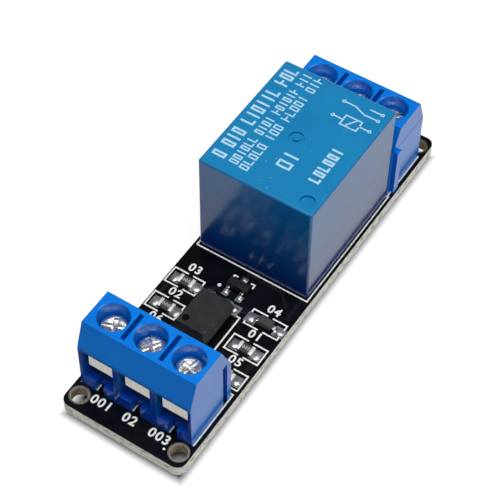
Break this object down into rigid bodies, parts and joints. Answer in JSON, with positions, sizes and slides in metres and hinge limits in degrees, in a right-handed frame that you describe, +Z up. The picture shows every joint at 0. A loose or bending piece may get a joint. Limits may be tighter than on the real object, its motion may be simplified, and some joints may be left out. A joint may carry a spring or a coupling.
{
  "type": "relay module board",
  "caption": "Slim circuit board with a screw terminal block at each end, a sealed blue relay, and an optocoupler stage with small surface-mounted parts between them.",
  "frame": {"origin": "centre of the four mounting holes, on the board's underside", "axes": "+X across the board, +Y along the board from the input terminals to the output terminals, +Z up out of the board's upper face"},
  "size_m": [0.0168, 0.0584, 0.0188],
  "materials": {
    "board_mask": "glossy dark solder mask over a glass-fibre board",
    "terminal_plastic": "satin blue moulding",
    "clamp_metal": "dull tin plate",
    "guard_sheet": "plain plated sheet",
    "screw_steel": "bright nickel plate",
    "relay_cover_plastic": "smooth blue moulding",
    "relay_base_plastic": "dark moulding with sealing resin",
    "bobbin_plastic": "pale moulding",
    "copper_winding": "enamelled copper wire",
    "soft_iron": "plated soft iron",
    "spring_copper": "bare spring copper",
    "contact_silver": "bright silver alloy",
    "relay_pin_metal": "tin plate",
    "black_moulding": "dull dark moulding",
    "tinned_lead": "bright tin plate",
    "resistor_body": "dark glaze over a pale ceramic chip",
    "lamp_resin": "pale clouded resin",
    "solder": "bright solder"
  },
  "bodies": {
    "board_assembly": {"circuit_board": "board_mask", "input_terminal_housing": "terminal_plastic", "output_terminal_housing": "terminal_plastic", "input_clamp_1": "clamp_metal", "input_clamp_2": "clamp_metal", "input_clamp_3": "clamp_metal", "output_clamp_1": "clamp_metal", "output_clamp_2": "clamp_metal", "output_clamp_3": "clamp_metal", "relay_cover": "relay_cover_plastic", "relay_base": "relay_base_plastic", "relay_bobbin": "bobbin_plastic", "relay_winding": "copper_winding", "relay_core": "soft_iron", "relay_yoke": "soft_iron", "relay_fixed_contacts": "contact_silver", "relay_common_terminal": "relay_pin_metal", "relay_open_terminal": "relay_pin_metal", "relay_closed_terminal": "relay_pin_metal", "relay_coil_pins": "relay_pin_metal", "optocoupler_body": "black_moulding", "optocoupler_leads": "tinned_lead", "transistor_body": "black_moulding", "transistor_leads": "tinned_lead", "diode_body": "black_moulding", "diode_leads": "tinned_lead", "resistor_1": "resistor_body", "resistor_2": "resistor_body", "resistor_3": "resistor_body", "resistor_end_caps": "tinned_lead", "lamp_1": "lamp_resin", "lamp_2": "lamp_resin", "lamp_end_caps": "tinned_lead", "surface_solder": "solder", "solder_joints": "solder"},
    "input_guard_1": {"input_wire_guard_1": "guard_sheet"},
    "input_screw_1": {"input_screw_1": "screw_steel"},
    "input_guard_2": {"input_wire_guard_2": "guard_sheet"},
    "input_screw_2": {"input_screw_2": "screw_steel"},
    "input_guard_3": {"input_wire_guard_3": "guard_sheet"},
    "input_screw_3": {"input_screw_3": "screw_steel"},
    "output_guard_1": {"output_wire_guard_1": "guard_sheet"},
    "output_screw_1": {"output_screw_1": "screw_steel"},
    "output_guard_2": {"output_wire_guard_2": "guard_sheet"},
    "output_screw_2": {"output_screw_2": "screw_steel"},
    "output_guard_3": {"output_wire_guard_3": "guard_sheet"},
    "output_screw_3": {"output_screw_3": "screw_steel"},
    "armature_assembly": {"relay_armature": "soft_iron", "relay_contact_blade": "spring_copper", "relay_moving_contact": "contact_silver"}
  },
  "joints": [
    {"name": "input_guard_1_slide", "type": "slide", "parent": "board_assembly", "child": "input_guard_1", "axis": [0, 0, -1], "range_m": [0, 0.0018]},
    {"name": "input_screw_1_turn", "type": "hinge", "parent": "input_guard_1", "child": "input_screw_1", "pos_m": [-0.00508, -0.02215, 0.012], "axis": [0, 0, -1], "range_deg": [0, 1441]},
    {"name": "input_guard_2_slide", "type": "slide", "parent": "board_assembly", "child": "input_guard_2", "axis": [0, 0, -1], "range_m": [0, 0.0018]},
    {"name": "input_screw_2_turn", "type": "hinge", "parent": "input_guard_2", "child": "input_screw_2", "pos_m": [0, -0.02215, 0.012], "axis": [0, 0, -1], "range_deg": [0, 1441]},
    {"name": "input_guard_3_slide", "type": "slide", "parent": "board_assembly", "child": "input_guard_3", "axis": [0, 0, -1], "range_m": [0, 0.0018]},
    {"name": "input_screw_3_turn", "type": "hinge", "parent": "input_guard_3", "child": "input_screw_3", "pos_m": [0.00508, -0.02215, 0.012], "axis": [0, 0, -1], "range_deg": [0, 1441]},
    {"name": "output_guard_1_slide", "type": "slide", "parent": "board_assembly", "child": "output_guard_1", "axis": [0, 0, -1], "range_m": [0, 0.0018]},
    {"name": "output_screw_1_turn", "type": "hinge", "parent": "output_guard_1", "child": "output_screw_1", "pos_m": [0.00508, 0.02215, 0.012], "axis": [0, 0, -1], "range_deg": [0, 1441]},
    {"name": "output_guard_2_slide", "type": "slide", "parent": "board_assembly", "child": "output_guard_2", "axis": [0, 0, -1], "range_m": [0, 0.0018]},
    {"name": "output_screw_2_turn", "type": "hinge", "parent": "output_guard_2", "child": "output_screw_2", "pos_m": [0, 0.02215, 0.012], "axis": [0, 0, -1], "range_deg": [0, 1441]},
    {"name": "output_guard_3_slide", "type": "slide", "parent": "board_assembly", "child": "output_guard_3", "axis": [0, 0, -1], "range_m": [0, 0.0018]},
    {"name": "output_screw_3_turn", "type": "hinge", "parent": "output_guard_3", "child": "output_screw_3", "pos_m": [-0.00508, 0.02215, 0.012], "axis": [0, 0, -1], "range_deg": [0, 1441]},
    {"name": "armature_pivot", "type": "hinge", "parent": "board_assembly", "child": "armature_assembly", "pos_m": [0, 0.00115, 0.0141], "axis": [1, 0, 0], "range_deg": [-3.2, 0], "stiffness_Nm_per_rad": 0.005, "springref_deg": 6.88}
  ],
  "couplings": [
    {"joint": "input_screw_1_turn", "follows": "input_guard_1_slide", "rad_per_m": 13963},
    {"joint": "input_screw_2_turn", "follows": "input_guard_2_slide", "rad_per_m": 13963},
    {"joint": "input_screw_3_turn", "follows": "input_guard_3_slide", "rad_per_m": 13963},
    {"joint": "output_screw_1_turn", "follows": "output_guard_1_slide", "rad_per_m": 13963},
    {"joint": "output_screw_2_turn", "follows": "output_guard_2_slide", "rad_per_m": 13963},
    {"joint": "output_screw_3_turn", "follows": "output_guard_3_slide", "rad_per_m": 13963}
  ]
}
